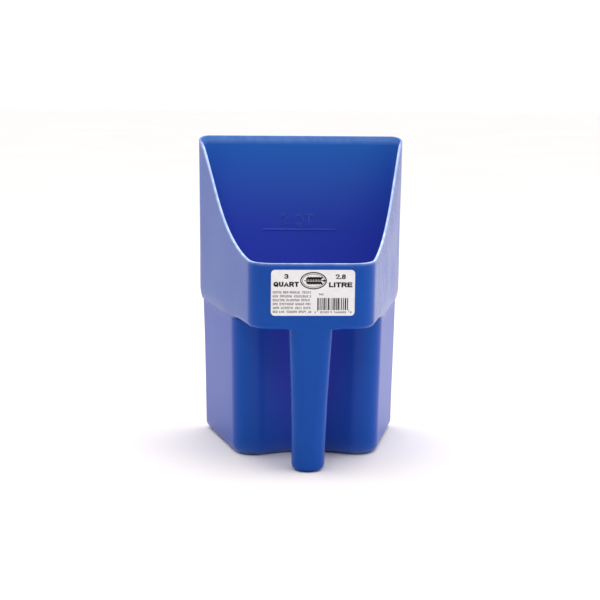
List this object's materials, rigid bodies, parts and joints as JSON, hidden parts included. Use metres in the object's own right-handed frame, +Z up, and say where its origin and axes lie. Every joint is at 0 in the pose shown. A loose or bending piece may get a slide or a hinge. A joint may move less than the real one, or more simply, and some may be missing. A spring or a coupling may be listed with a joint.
{
  "type": "feed scoop",
  "caption": "Moulded plastic feed scoop: tall slanted mouth, trapezoid well, and a hollow handle hung in front under a pouring spout.",
  "frame": {"origin": "middle of the scoop in plan, on the plane that it stands on", "axes": "+Z up towards the mouth, +Y towards the tall back wall, the handle on the -Y side, +X to the right seen from the handle"},
  "size_m": [0.1532, 0.1562, 0.222],
  "materials": {
    "scoop_plastic": "satin moulded polypropylene",
    "label_film": "printed film, matt white"
  },
  "bodies": {
    "root": {"scoop_body": "scoop_plastic", "handle": "scoop_plastic", "fill_mark": "scoop_plastic", "front_label": "label_film"}
  },
  "joints": []
}
